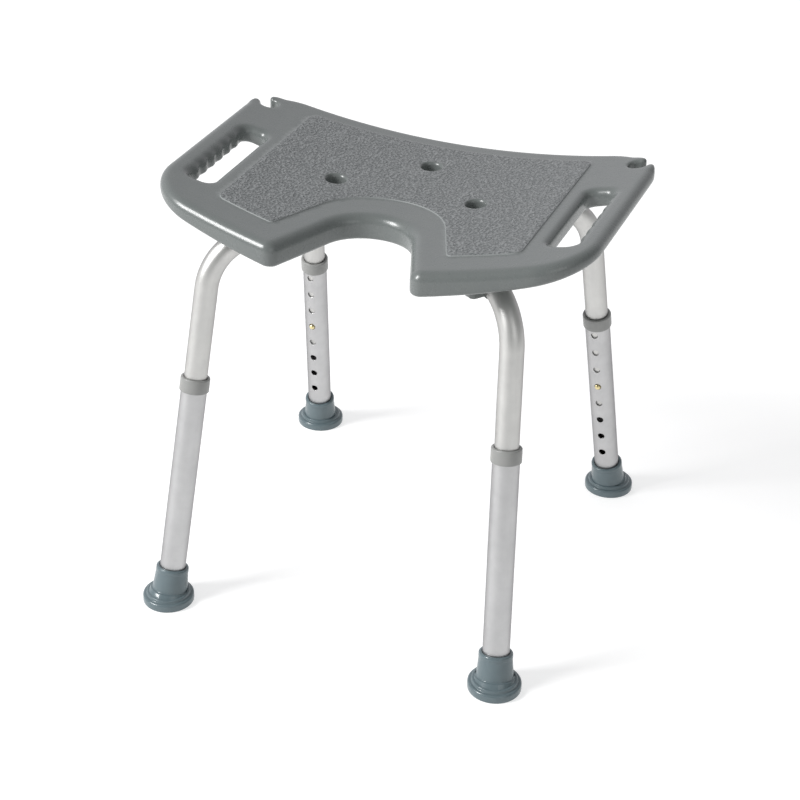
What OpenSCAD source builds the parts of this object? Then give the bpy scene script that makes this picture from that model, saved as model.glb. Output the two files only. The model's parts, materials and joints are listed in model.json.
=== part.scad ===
// Height-adjustable shower stool: a dished, twin-walled seat with a front cut-out and two
// end handles, on two bent tubes that cross under it, with four telescopic lower legs.
// Millimetres, +Z up, +X to the sitter's right, origin on the floor at the centre of the feet.

/* [Seat] */
// Width of the seat from one end to the other
seat_w = 485; // [475:1:495]
// Height of the two raised ends above the floor at the shown leg setting
seat_h = 474; // [472:0.5:476]
// How far the middle of the sitting surface lies below the ends
dish = 30; // [26:1:34]
// Thickness of the seat at the middle
seat_t = 28; // [27:0.5:30]
// Distance from the centre to the straight back edge
seat_back = 160; // [156:1:164]
// Wall thickness of the blow-moulded shell
seat_wall = 2.8; // [2:0.1:3.4]
// Radius of the two rear corners
rear_corner_r = 60; // [57:1:62]
// Radius of the two outer front corners
front_corner_r = 72; // [60:1:80]
// Radius of a drain hole
drain_r = 10.5; // [9:0.5:12]
// Radius of a hose notch
notch_r = 11; // [9:0.5:11.5]
// Width of a handle opening
slot_w = 29; // [26:1:31]
// Length of a handle opening
slot_l = 142; // [130:1:150]

/* [Frame tubes] */
// Outside radius of a frame tube
frame_r = 12.7; // [12.6:0.05:12.75]
// Wall thickness of a frame tube
frame_wall = 1.2; // [1:0.1:1.6]
// Height of the level run of the frame tubes above the floor
run_z = 415.5; // [415:0.1:416]
// Centreline radius of the bend
bend_r = 65; // [62:1:66]

/* [Legs] */
// Sideways distance from the centre to a foot
foot_x = 192.5; // [190:0.5:195]
// Front-to-back distance from the centre to a foot
foot_y = 209.5; // [207:0.5:212]
// How far a leg leans in sideways, in degrees
lean_x = 3.4; // [3:0.1:4]
// How far a leg leans in from front to back, in degrees
lean_y = 11.35; // [11:0.05:11.6]
// Outside radius of a lower tube
leg_r = 14.3; // [14.2:0.05:14.4]
// Inside radius of a lower tube
leg_bore_r = 13.05; // [13:0.05:13.15]
// Number of height holes in a lower tube
hole_count = 8; // [8:1:8]
// Distance between two height holes
hole_pitch = 25.4; // [25:0.1:25.8]
// Distance from the floor to the lowest height hole, along the leg
first_hole = 67; // [64:0.5:67]
// Radius of a height hole
hole_r = 4; // [3.8:0.1:4.2]
// Height hole that the button sits in, counted from the lowest
button_hole = 5; // [5:1:5]

/* [Feet] */
// Radius of a foot where it meets the floor
foot_r = 28.5; // [27:0.5:30]
// Height of a foot's level base
base_h = 10; // [9:0.5:11]

/* [Hidden] */
$fn = 96;

seat_grey = [0.45, 0.47, 0.47];
collar_grey = [0.56, 0.57, 0.57];
foot_grey = [0.40, 0.46, 0.48];
anodised = [0.83, 0.84, 0.84];
steel = [0.62, 0.63, 0.64];
brass = [0.80, 0.66, 0.30];

// A leg corner is [left or right, front or rear]: -1 is left or front.
front_left = [-1, -1];
front_right = [1, -1];
rear_left = [-1, 1];
rear_right = [1, 1];

// ---- Seat surfaces: both are arcs about axes that run front to back ----
half_w = seat_w / 2;
seat_end_t = 17.2;
top_low_z = seat_h - dish;
top_arc_r = (pow(half_w, 2) + pow(dish, 2)) / (2 * dish);
under_low_z = top_low_z - seat_t;
under_rise = seat_h - seat_end_t - under_low_z;
under_arc_r = (pow(half_w, 2) + pow(under_rise, 2)) / (2 * under_rise);

// ---- Seat plan ----
front_slope = 14;
mouth_x = 76;
mouth_y = -179;
mouth_r = 13;
cut_back_x = 34;
cut_back_y = -64.5;
cut_back_r = 48;
front_corner_y = mouth_y + (half_w - mouth_x) * tan(front_slope);
slot_x = 201.5;
slot_y = -18;
slot_corner_r = 9;
grip_count = 6;
grip_pitch = 19;
grip_depth = 2.2;
grip_r = 12;
notch_x = 220;
notch_y = 124;
notch_turn = 48;
notch_reach = 30;
drain_x = 80.5;
drain_back_y = 79;
arc_steps = 10;
slab_depth = 420;
// The block that the seat is cut from
slab_z = under_low_z - 10;
slab_h = 100;

// ---- Frame ----
frame_bore_r = frame_r - frame_wall;
lean = [tan(lean_x), tan(lean_y)];
// Where the straight leg line of a corner would meet the level run
elbow = [foot_x - lean[0] * run_z, foot_y - lean[1] * run_z];
run_angle = atan2(elbow[1], elbow[0]);
run_half = norm(elbow);
flat_h = 2 * frame_r / 2 - 0.1;
flat_w = frame_r * PI - flat_h * (PI / 2 - 1);
flat_half = 22;
taper_l = 26;
channel_gap = 0.2;
taper_steps = 3;
ring_sides = 24;
// Steps that keep the pieces of a tube joined: at the tapers and at the ends of the bends
taper_step = 0.25;
seam = 0.04;
pocket_w = flat_w + 1;
frame_end = 130;

// ---- Saddles and their screws ----
saddle_at = 161;
saddle_l = 30;
saddle_w = 56;
saddle_wall = 3;
saddle_gap = 0.15;
ear_z = 404.5;
ear_round = 5;
screw_offset = 22;
screw_r = 2.1;
screw_l = 34;
screw_head_r = 4;
screw_head_h = 2.8;
screw_boss_r = 6;
// The cross recess in a screw's head
recess_l = 4.4;
recess_w = 0.9;
recess_depth = 1.3;

// ---- Centre bolt through the crossing ----
bolt_r = 3;
bolt_hole_r = 3.3;
bolt_head_r = 5;
bolt_head_h = 6;
bolt_hex_r = 2.9;
bolt_hex_depth = 3.5;
bolt_top_z = 438.6;
washer_r = 9;
washer_t = 1.6;
insert_r = 5;
insert_h = 10;

// ---- Lower legs ----
tube_base = 12;
hole_top = first_hole + (hole_count - 1) * hole_pitch;
collar_base = hole_top + 6.5;
collar_h = 16;
collar_r = 16.2;
collar_lip = 2.5;
collar_chamfer = 1.2;
collar_bore_r = 13.1;
tube_top = collar_base + collar_h - collar_lip;
sleeve_top = 40;
sleeve_r = 20;
sleeve_top_r = 17.8;
sleeve_floor = 10;
sleeve_round = 1.6;
step_r = 24;
step_h = 3;
foot_edge = 2;
foot_washer_t = 2;

// ---- Snap buttons and their springs ----
button_r = 3.4;
button_at = first_hole + (button_hole - 1) * hole_pitch;
button_tip = 17;
button_flange_r = 4.2;
button_flange_y = 9.5;
button_flange_t = 0.9;
frame_hole_r = 3.5;
spring_t = 0.8;
spring_w = 7;
spring_l = 44;
// The leaf's two sides, and how far they reach below the button
spring_far_y = -9.6;
spring_near_y = 9.3;
spring_tail = 8;

// ---------------------------------------------------------------- helpers

// Points of an arc from angle a0 to angle a1
function arc(centre, r, a0, a1) = [
    for (i = [0 : arc_steps])
        let (a = a0 + (a1 - a0) * i / arc_steps)
        centre + r * [cos(a), sin(a)]
];

// The fillet of radius r at corner b between the sides to a and c
function fillet(a, b, c, r) =
    let (
        u = (a - b) / norm(a - b),
        v = (c - b) / norm(c - b),
        half = acos(u * v) / 2,
        centre = b + (u + v) / norm(u + v) * r / sin(half),
        p = b + u * r / tan(half) - centre,
        q = b + v * r / tan(half) - centre,
        a0 = atan2(p[1], p[0]),
        turn = atan2(q[1], q[0]) - a0,
        sweep = turn > 180 ? turn - 360 : turn < -180 ? turn + 360 : turn
    )
    arc(centre, r, a0, a0 + sweep);

// An outline from corners given as [x, y, radius]
function rounded(corners) = [
    for (i = [0 : len(corners) - 1])
        let (
            n = len(corners),
            a = corners[(i + n - 1) % n],
            b = corners[i],
            c = corners[(i + 1) % n]
        )
        each b[2] > 0
            ? fillet([a[0], a[1]], [b[0], b[1]], [c[0], c[1]], b[2])
            : [[b[0], b[1]]]
];

function unit(v) = v / norm(v);

// Direction up the leg of a corner
function up_leg(c) = unit([-c[0] * lean[0], -c[1] * lean[1], 1]);

// Places children in a frame with the given origin and unit axes
module in_frame(o, x, y, z) {
    multmatrix([
        [x[0], y[0], z[0], o[0]],
        [x[1], y[1], z[1], o[1]],
        [x[2], y[2], z[2], o[2]],
        [0, 0, 0, 1],
    ]) children();
}

// Stands children on a corner's leg line: +Z runs up the leg from the floor and +Y points
// out of the height holes, which face the middle of the stool from front and rear.
module on_leg(c) {
    z = up_leg(c);
    inward = [0, -c[1], 0];
    y = unit(inward - (inward * z) * z);
    in_frame([c[0] * foot_x, c[1] * foot_y, 0], cross(y, z), y, z) children();
}

// Lays children along the level run towards a corner: +X points outwards from the centre
module along_run(c) {
    rotate([0, 0, atan2(c[1] * elbow[1], c[0] * elbow[0])]) children();
}

module ring(r, bore, h) {
    difference() {
        cylinder(r = r, h = h);
        translate([0, 0, -1]) cylinder(r = bore, h = h + 2);
    }
}

// ---------------------------------------------------------------- seat

module seat_outline() {
    corners = [
        [half_w, seat_back, rear_corner_r],
        [-half_w, seat_back, rear_corner_r],
        [-half_w, front_corner_y, front_corner_r],
        [-mouth_x, mouth_y, mouth_r],
        [-cut_back_x, cut_back_y, cut_back_r],
        [cut_back_x, cut_back_y, cut_back_r],
        [mouth_x, mouth_y, mouth_r],
        [half_w, front_corner_y, front_corner_r],
    ];
    polygon(rounded(corners));
}

// A handle opening, with finger grips along its outer wall
module slot_outline() {
    difference() {
        polygon(rounded([
            [slot_w / 2, slot_l / 2, slot_corner_r],
            [-slot_w / 2, slot_l / 2, slot_corner_r],
            [-slot_w / 2, -slot_l / 2, slot_corner_r],
            [slot_w / 2, -slot_l / 2, slot_corner_r],
        ]));
        for (i = [0 : grip_count - 1])
            translate([slot_w / 2 + grip_r - grip_depth, (i - (grip_count - 1) / 2) * grip_pitch])
                circle(r = grip_r);
    }
}

module mirrored() {
    children();
    mirror([1, 0, 0]) children();
}

// A U-shaped hose notch that opens over the rear corner, grown all round by a wall
module notch_outline(wall) {
    r = notch_r + wall;
    translate([notch_x, notch_y]) rotate(notch_turn)
        polygon([each arc([0, 0], r, 90, 270), [notch_reach, -r], [notch_reach, r]]);
}

// Everything that passes through the seat in plan
module seat_openings() {
    mirrored() {
        translate([slot_x, slot_y]) slot_outline();
        notch_outline(0);
        translate([drain_x, 0]) circle(r = drain_r);
    }
    translate([0, drain_back_y]) circle(r = drain_r);
}

// A bar along Y whose round surface touches height z at x = 0
module arc_bar(r, z) {
    translate([0, slab_depth / 2, z + r]) rotate([90, 0, 0]) cylinder(r = r, h = slab_depth, $fn = 360);
}

// The space that the tubes need in the underside, grown by gap
module tube_space(gap) {
    for (c = [front_right, front_left]) {
        along_run(c) {
            translate([-run_half, 0, run_z]) rotate([0, 90, 0])
                cylinder(r = frame_r + channel_gap + gap, h = 2 * run_half);
            translate([-flat_half - taper_l, -pocket_w / 2 - gap, run_z - 40])
                cube([2 * (flat_half + taper_l), pocket_w + 2 * gap, 40 + frame_r + channel_gap + gap]);
        }
    }
}

// Solid plastic round every screw and insert
module seat_bosses() {
    for (c = [front_left, front_right, rear_left, rear_right])
        along_run(c)
            for (side = [-1, 1])
                translate([saddle_at, side * screw_offset, slab_z]) cylinder(r = screw_boss_r, h = slab_h);
    translate([0, 0, slab_z]) cylinder(r = insert_r + seat_wall, h = slab_h);
}

// The plan of the hollow, which stays a wall away from the rim and every opening
module cavity_outline() {
    difference() {
        offset(delta = -seat_wall) seat_outline();
        mirrored() {
            translate([slot_x, slot_y])
                square([slot_w + 2 * seat_wall, slot_l + 2 * seat_wall], center = true);
            notch_outline(seat_wall);
            translate([drain_x, 0]) circle(r = drain_r + seat_wall);
        }
        translate([0, drain_back_y]) circle(r = drain_r + seat_wall);
    }
}

// The hollow between the two skins
module seat_cavity() {
    difference() {
        translate([0, 0, slab_z]) linear_extrude(height = slab_h) cavity_outline();
        difference() {
            translate([-half_w, -slab_depth / 2, slab_z - 1]) cube([seat_w, slab_depth, slab_h + 2]);
            arc_bar(under_arc_r - seat_wall, under_low_z + seat_wall);
        }
        arc_bar(top_arc_r + seat_wall, top_low_z - seat_wall);
        tube_space(seat_wall);
        seat_bosses();
    }
}

module seat_panel() {
    color(seat_grey)
        difference() {
            intersection() {
                translate([0, 0, slab_z])
                    linear_extrude(height = slab_h)
                        difference() {
                            seat_outline();
                            seat_openings();
                        }
                arc_bar(under_arc_r, under_low_z);
            }
            arc_bar(top_arc_r, top_low_z);
            tube_space(0);
            seat_cavity();
            saddle_screw_set(screw_r);
            translate([0, 0, run_z]) cylinder(r = bolt_hole_r, h = bolt_top_z + 1 - run_z);
            translate([0, 0, bolt_top_z - insert_h]) cylinder(r = insert_r, h = insert_h);
        }
}

// ---------------------------------------------------------------- frame tubes

// One bent end of a tube, down to frame_end above the floor and in to the flattened middle.
// It is laid out in the plane of its bend, with the bend's centre at the origin.
module tube_end(c, r, extra) {
    up = up_leg(c);
    along = [-c[0] * cos(run_angle), -c[1] * sin(run_angle), 0];
    turn = acos(up * along);
    in_plane = unit(along - cos(turn) * up);
    tangent = bend_r * tan(turn / 2);
    bend_start = [c[0] * elbow[0], c[1] * elbow[1], run_z] - tangent * up;
    straight = norm(bend_start - [c[0] * foot_x, c[1] * foot_y, 0]) - frame_end;
    in_frame(bend_start + bend_r * in_plane, -in_plane, up, cross(-in_plane, up)) {
        rotate_extrude(angle = turn) translate([bend_r, 0]) circle(r = r);
        translate([bend_r, 0, 0]) rotate([90, 0, 0]) cylinder(r = r, h = straight + extra);
        rotate([0, 0, turn]) translate([bend_r, 0, 0]) rotate([-90, 0, 0]) {
            cylinder(r = r, h = run_half - tangent - flat_half - taper_l);
            // The hair-thin sleeve that joins the bend to the level run
            translate([0, 0, -1.5]) cylinder(r = r + seam, h = 3);
        }
    }
}

// A cross-section of a tube's middle at x along the run: flat 0 is round, and flat 1 is the
// flattened bar, inset by squash all round. side is 1 where the bar lies above the run's axis
// and -1 where it lies below.
function middle_ring(x, flat, r, side, squash) = [
    for (i = [0 : ring_sides - 1])
        let (
            a = i * 360 / ring_sides,
            edge_r = flat_h / 2 - squash,
            bar_y = sign(cos(a)) * (flat_w - flat_h) / 2 + edge_r * cos(a),
            bar_z = side * frame_r / 2 + edge_r * sin(a)
        )
        [x, (1 - flat) * r * cos(a) + flat * bar_y, (1 - flat) * r * sin(a) + flat * bar_z]
];

// The flattened middle of a tube with the tapers on both sides of it
module tube_middle(c, r, side, squash) {
    stations = [
        [flat_half + taper_l + 1, 0],
        for (i = [0 : taper_steps])
            let (t = i / taper_steps)
            [flat_half + taper_l * (1 - t), t * t * (3 - 2 * t)],
    ];
    half = len(stations);
    rings = [
        for (s = stations) middle_ring(-s[0], s[1], r, side, squash),
        for (i = [1 : half]) middle_ring(stations[half - i][0], stations[half - i][1], r, side, squash),
    ];
    last = (len(rings) - 1) * ring_sides;
    along_run(c) translate([0, 0, run_z])
        polyhedron(
            points = [for (ring = rings) each ring],
            faces = [
                [for (i = [0 : ring_sides - 1]) i],
                for (k = [0 : len(rings) - 2], i = [0 : ring_sides - 1])
                    let (a = k * ring_sides + i, b = k * ring_sides + (i + 1) % ring_sides)
                    each [[a, a + ring_sides, b], [b, a + ring_sides, b + ring_sides]],
                [for (i = [1 : ring_sides]) last + ring_sides - i],
            ]
        );
}

module frame_tube(corners, side) {
    color(anodised)
        difference() {
            union() {
                for (c = corners) tube_end(c, frame_r, 0);
                tube_middle(corners[0], frame_r - taper_step, side, 0);
            }
            union() {
                for (c = corners) tube_end(c, frame_bore_r, 1);
                tube_middle(corners[0], frame_bore_r - taper_step, side, frame_wall);
            }
            for (c = corners)
                on_leg(c) translate([0, 0, button_at]) rotate([-90, 0, 0])
                    cylinder(r = frame_hole_r, h = frame_r + 2);
            translate([0, 0, run_z - 20]) cylinder(r = bolt_hole_r, h = 40);
        }
}

// The tube from front left to rear right, flattened below the run's axis where they cross
module frame_tube_lower() {
    frame_tube([front_left, rear_right], -1);
}

// The tube from front right to rear left, flattened above the run's axis where they cross
module frame_tube_upper() {
    frame_tube([front_right, rear_left], 1);
}

// ---------------------------------------------------------------- seat fixings

// A moulded strap that holds the end of a level run up against the seat, with a thick ear
// on each side of the tube
module saddle(c) {
    color(collar_grey)
        difference() {
            along_run(c) {
                translate([saddle_at, 0, ear_z]) linear_extrude(height = 60)
                    polygon(rounded([
                        [saddle_l / 2, saddle_w / 2, ear_round],
                        [-saddle_l / 2, saddle_w / 2, ear_round],
                        [-saddle_l / 2, -saddle_w / 2, ear_round],
                        [saddle_l / 2, -saddle_w / 2, ear_round],
                    ]));
                translate([saddle_at - saddle_l / 2, 0, run_z - 2]) rotate([0, 90, 0])
                    cylinder(r = frame_r + saddle_gap + saddle_wall, h = saddle_l);
            }
            tube_end(c, frame_r + saddle_gap, 0);
            along_run(c) translate([0, -frame_r - saddle_gap, run_z])
                cube([run_half, 2 * (frame_r + saddle_gap), 60]);
            arc_bar(under_arc_r, under_low_z);
            saddle_screw_set(screw_r + 0.3);
        }
}

module saddle_front_left() { saddle(front_left); }
module saddle_front_right() { saddle(front_right); }
module saddle_rear_left() { saddle(rear_left); }
module saddle_rear_right() { saddle(rear_right); }

// The shanks of all the saddle screws
module saddle_screw_set(r) {
    for (c = [front_left, front_right, rear_left, rear_right])
        along_run(c)
            for (side = [-1, 1])
                translate([saddle_at, side * screw_offset, ear_z - 0.5]) cylinder(r = r, h = screw_l);
}

module saddle_screws() {
    color(steel) {
        difference() {
            union() {
                saddle_screw_set(screw_r);
                for (c = [front_left, front_right, rear_left, rear_right])
                    along_run(c)
                        for (side = [-1, 1])
                            translate([saddle_at, side * screw_offset, ear_z - screw_head_h])
                                cylinder(r = screw_head_r, h = screw_head_h);
            }
            for (c = [front_left, front_right, rear_left, rear_right])
                along_run(c)
                    for (side = [-1, 1])
                        for (turn = [0, 90])
                            translate([saddle_at, side * screw_offset, ear_z - screw_head_h])
                                rotate([0, 0, turn])
                                    cube([recess_l, recess_w, 2 * recess_depth], center = true);
        }
    }
}

module cross_bolt() {
    head_z = run_z - frame_r - washer_t;
    color(steel)
        difference() {
            union() {
                translate([0, 0, head_z]) cylinder(r = bolt_r, h = bolt_top_z - head_z);
                translate([0, 0, head_z - bolt_head_h]) cylinder(r = bolt_head_r, h = bolt_head_h);
            }
            translate([0, 0, head_z - bolt_head_h - 1])
                cylinder(r = bolt_hex_r, h = bolt_hex_depth + 1, $fn = 6);
        }
}

module cross_washer() {
    color(steel) translate([0, 0, run_z - frame_r - washer_t]) ring(washer_r, bolt_r + 0.2, washer_t);
}

// The threaded insert moulded into the seat over the crossing
module seat_insert() {
    color(brass) translate([0, 0, bolt_top_z - insert_h]) ring(insert_r, bolt_r, insert_h);
}

// ---------------------------------------------------------------- lower legs

module lower_tube(c) {
    color(anodised)
        on_leg(c)
            difference() {
                translate([0, 0, tube_base]) ring(leg_r, leg_bore_r, tube_top - tube_base);
                for (i = [0 : hole_count - 1])
                    translate([0, 0, first_hole + i * hole_pitch]) rotate([-90, 0, 0])
                        cylinder(r = hole_r, h = leg_r + 2);
            }
}

module lower_tube_front_left() { lower_tube(front_left); }
module lower_tube_front_right() { lower_tube(front_right); }
module lower_tube_rear_left() { lower_tube(rear_left); }
module lower_tube_rear_right() { lower_tube(rear_right); }

// The guide ring on top of a lower tube, with a lip over the tube's end
module collar(c) {
    color(collar_grey)
        on_leg(c) translate([0, 0, collar_base])
            rotate_extrude() polygon([
                [leg_r, 0],
                [collar_r - 0.5, 0],
                [collar_r, 0.5],
                [collar_r, collar_h - collar_chamfer],
                [collar_r - collar_chamfer, collar_h],
                [collar_bore_r + 0.3, collar_h],
                [collar_bore_r, collar_h - 0.3],
                [collar_bore_r, collar_h - collar_lip],
                [leg_r, collar_h - collar_lip],
            ]);
}

module collar_front_left() { collar(front_left); }
module collar_front_right() { collar(front_right); }
module collar_rear_left() { collar(rear_left); }
module collar_rear_right() { collar(rear_right); }

// A rubber ferrule: a level stepped base with a sleeve that leans with the leg
module foot(c) {
    color(foot_grey)
        difference() {
            union() {
                translate([c[0] * foot_x, c[1] * foot_y, 0])
                    rotate_extrude() polygon([
                        [0, 0],
                        [foot_r - foot_edge, 0],
                        [foot_r, foot_edge],
                        [foot_r, base_h - foot_edge],
                        [foot_r - foot_edge, base_h],
                        [step_r, base_h],
                        [step_r - 1, base_h + step_h],
                        [0, base_h + step_h],
                    ]);
                on_leg(c) translate([0, 0, base_h / 2])
                    rotate_extrude() polygon([
                        [0, 0],
                        [sleeve_r, 0],
                        [sleeve_top_r, sleeve_top - base_h / 2 - sleeve_round],
                        [sleeve_top_r - sleeve_round, sleeve_top - base_h / 2],
                        [0, sleeve_top - base_h / 2],
                    ]);
            }
            on_leg(c) translate([0, 0, sleeve_floor]) cylinder(r = leg_r, h = sleeve_top);
        }
}

module foot_front_left() { foot(front_left); }
module foot_front_right() { foot(front_right); }
module foot_rear_left() { foot(rear_left); }
module foot_rear_right() { foot(rear_right); }

// The steel washer that keeps a tube from cutting through its foot
module foot_washer(c) {
    color(steel) on_leg(c) translate([0, 0, sleeve_floor]) cylinder(r = leg_r, h = foot_washer_t);
}

module foot_washer_front_left() { foot_washer(front_left); }
module foot_washer_front_right() { foot_washer(front_right); }
module foot_washer_rear_left() { foot_washer(rear_left); }
module foot_washer_rear_right() { foot_washer(rear_right); }

// ---------------------------------------------------------------- height locks

// A domed button that stands through the frame tube and one height hole
module snap_button(c) {
    color(brass)
        on_leg(c) translate([0, 0, button_at]) rotate([-90, 0, 0]) {
            translate([0, 0, button_flange_y]) cylinder(r = button_flange_r, h = button_flange_t);
            translate([0, 0, button_flange_y]) cylinder(r = button_r, h = button_tip - button_r - button_flange_y);
            intersection() {
                translate([0, 0, button_tip - button_r]) sphere(r = button_r);
                translate([0, 0, button_tip - button_r]) cylinder(r = button_r + 1, h = button_r + 1);
            }
        }
}

module snap_button_front_left() { snap_button(front_left); }
module snap_button_front_right() { snap_button(front_right); }
module snap_button_rear_left() { snap_button(rear_left); }
module snap_button_rear_right() { snap_button(rear_right); }

// The folded leaf spring behind a button, pressed against both sides of the frame tube
module snap_spring(c) {
    spread = spring_near_y - spring_far_y;
    fold = [(spring_near_y + spring_far_y) / 2, spring_l - spring_tail - spread / 2];
    color(steel)
        on_leg(c) translate([-spring_w / 2, 0, button_at]) rotate([90, 0, 90])
            linear_extrude(height = spring_w)
                difference() {
                    union() {
                        translate([spring_far_y, -spring_tail]) square([spread, fold[1] + spring_tail]);
                        translate(fold) circle(r = spread / 2);
                    }
                    translate([spring_far_y + spring_t, -spring_tail - 1])
                        square([spread - 2 * spring_t, fold[1] + spring_tail + 1]);
                    translate(fold) circle(r = spread / 2 - spring_t);
                }
}

module snap_spring_front_left() { snap_spring(front_left); }
module snap_spring_front_right() { snap_spring(front_right); }
module snap_spring_rear_left() { snap_spring(rear_left); }
module snap_spring_rear_right() { snap_spring(rear_right); }

seat_panel();
frame_tube_lower();
frame_tube_upper();
saddle_front_left();
saddle_front_right();
saddle_rear_left();
saddle_rear_right();
saddle_screws();
cross_bolt();
cross_washer();
seat_insert();
lower_tube_front_left();
lower_tube_front_right();
lower_tube_rear_left();
lower_tube_rear_right();
collar_front_left();
collar_front_right();
collar_rear_left();
collar_rear_right();
foot_front_left();
foot_front_right();
foot_rear_left();
foot_rear_right();
foot_washer_front_left();
foot_washer_front_right();
foot_washer_rear_left();
foot_washer_rear_right();
snap_button_front_left();
snap_button_front_right();
snap_button_rear_left();
snap_button_rear_right();
snap_spring_front_left();
snap_spring_front_right();
snap_spring_rear_left();
snap_spring_rear_right();
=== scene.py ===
import json
import math

import bmesh
import bpy
import numpy as np
from mathutils import Matrix, Vector
from mathutils.geometry import delaunay_2d_cdt


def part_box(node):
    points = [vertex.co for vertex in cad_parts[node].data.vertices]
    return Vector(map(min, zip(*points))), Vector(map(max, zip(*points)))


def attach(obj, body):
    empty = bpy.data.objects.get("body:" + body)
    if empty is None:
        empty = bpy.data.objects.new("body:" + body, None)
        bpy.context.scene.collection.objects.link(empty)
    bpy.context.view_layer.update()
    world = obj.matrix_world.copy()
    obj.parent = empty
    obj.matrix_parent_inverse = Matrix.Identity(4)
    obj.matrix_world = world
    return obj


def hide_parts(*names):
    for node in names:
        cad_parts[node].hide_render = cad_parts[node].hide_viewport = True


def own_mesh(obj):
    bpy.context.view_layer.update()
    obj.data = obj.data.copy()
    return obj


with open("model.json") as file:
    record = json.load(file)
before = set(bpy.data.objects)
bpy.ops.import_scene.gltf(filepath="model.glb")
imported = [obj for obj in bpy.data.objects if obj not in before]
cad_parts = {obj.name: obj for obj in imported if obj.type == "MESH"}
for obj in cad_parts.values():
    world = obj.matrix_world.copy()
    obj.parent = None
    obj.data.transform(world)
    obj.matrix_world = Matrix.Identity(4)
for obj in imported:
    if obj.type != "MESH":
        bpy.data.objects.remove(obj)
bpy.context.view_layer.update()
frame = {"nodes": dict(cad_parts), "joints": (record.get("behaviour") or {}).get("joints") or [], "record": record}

# ------------------------------------------------------------------ places, from the frame

CORNERS = ("front_left", "front_right", "rear_left", "rear_right")
MOUNTS = {m["name"]: Vector(m["pos_m"]) for m in frame["record"]["mounts"]}
AXES = {j["name"]: Vector(j["axis"]) for j in frame["joints"]}

# Lengths below are in metres. Heights up a leg are measured along it, from the floor.
MM = 0.001
# Vertices closer than this are one vertex
WELD = 0.001 * MM

# The seat is dished: its top and its underside are arcs that rise towards both ends
HALF_W, SEAT_BACK, SEAT_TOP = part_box("seat_panel")[1]
DISH = 30 * MM
MIDDLE_THICK, END_THICK = 28 * MM, 17.2 * MM
TOP_LOW = SEAT_TOP - DISH
TOP_R = (HALF_W**2 + DISH**2) / (2 * DISH)
UNDER_LOW = TOP_LOW - MIDDLE_THICK
UNDER_RISE = SEAT_TOP - END_THICK - UNDER_LOW
UNDER_R = (HALF_W**2 + UNDER_RISE**2) / (2 * UNDER_RISE)

# The frame tubes run level under the seat and bend down into the legs
RUN_Z = 415.5 * MM
TUBE_R = 12.7 * MM
TUBE_WALL = 1.2 * MM
BEND_R = 65 * MM
FRAME_END = 130 * MM
# Where they cross, each is pressed to a flat bar of half its height, with a taper on both sides
FLAT_HALF = 22 * MM
TAPER = 26 * MM
FLAT_H = TUBE_R - 0.1 * MM
FLAT_W = TUBE_R * math.pi - FLAT_H * (math.pi / 2 - 1)

LEG_R = 14.3 * MM
LEG_BORE_R = 13.05 * MM
LEG_BASE = 12 * MM
HOLE_R = 4 * MM
FIRST_HOLE, HOLE_PITCH = 67 * MM, 25.4 * MM
HOLES = [FIRST_HOLE + HOLE_PITCH * i for i in range(8)]
BUTTON_AT = HOLES[4]
COLLAR_R, COLLAR_BORE_R, COLLAR_H, COLLAR_LIP = 16.2 * MM, 13.1 * MM, 16 * MM, 2.5 * MM
COLLAR_BASE = HOLES[-1] + 6.5 * MM
LEG_TOP = COLLAR_BASE + COLLAR_H - COLLAR_LIP


def leg_up(corner):
    return -AXES["leg_slide_" + corner].normalized()


def elbow_of(corner):
    """Where a corner's straight leg line would meet the level run."""
    up = leg_up(corner)
    return MOUNTS["floor_" + corner] + up * (RUN_Z / up.z)


def leg_matrix(corner):
    """Stands a piece on a corner's leg: +Z runs up the leg and +Y points out of its height holes."""
    up = leg_up(corner)
    out = AXES["button_press_" + corner].normalized()
    side = out.cross(up)
    rows = Matrix((side, out, up)).transposed().to_4x4()
    return Matrix.Translation(MOUNTS["floor_" + corner]) @ rows


# ------------------------------------------------------------------ mesh helpers

# Edges of a CAD node that turn by more degrees than this are rounded
CRISP = 35
# Points round a turned piece
SIDES = 96


def add_piece(name, verts, faces, materials, body, stands_for, sharp=None, kinds=None, flow=None):
    """Makes one finished mesh piece. sharp is the angle in degrees above which edges stay crisp,
    kinds gives each face's place in materials, and flow each vertex's place along and round a
    tube, which its draw lines follow."""
    bm = bmesh.new()
    along = bm.verts.layers.float_vector.new("flow") if flow is not None else None
    points = [bm.verts.new(v) for v in verts]
    if flow is not None:
        for point, place in zip(points, flow):
            point[along] = place
    for k, f in enumerate(faces):
        face = bm.faces.new([points[i] for i in f])
        face.smooth = True
        face.material_index = int(kinds[k]) if kinds is not None else 0
    bmesh.ops.remove_doubles(bm, verts=bm.verts, dist=WELD)
    bmesh.ops.recalc_face_normals(bm, faces=bm.faces)
    return finished(name, bm, materials, body, stands_for, sharp)


def finished(name, bm, materials, body, stands_for, sharp):
    mesh = bpy.data.meshes.new(name)
    bm.to_mesh(mesh)
    bm.free()
    if sharp is not None:
        mesh.set_sharp_from_angle(angle=math.radians(sharp))
    for material in materials:
        mesh.materials.append(material)
    piece = bpy.data.objects.new(name, mesh)
    bpy.context.scene.collection.objects.link(piece)
    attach(piece, body)
    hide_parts(*stands_for)
    return piece


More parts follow.
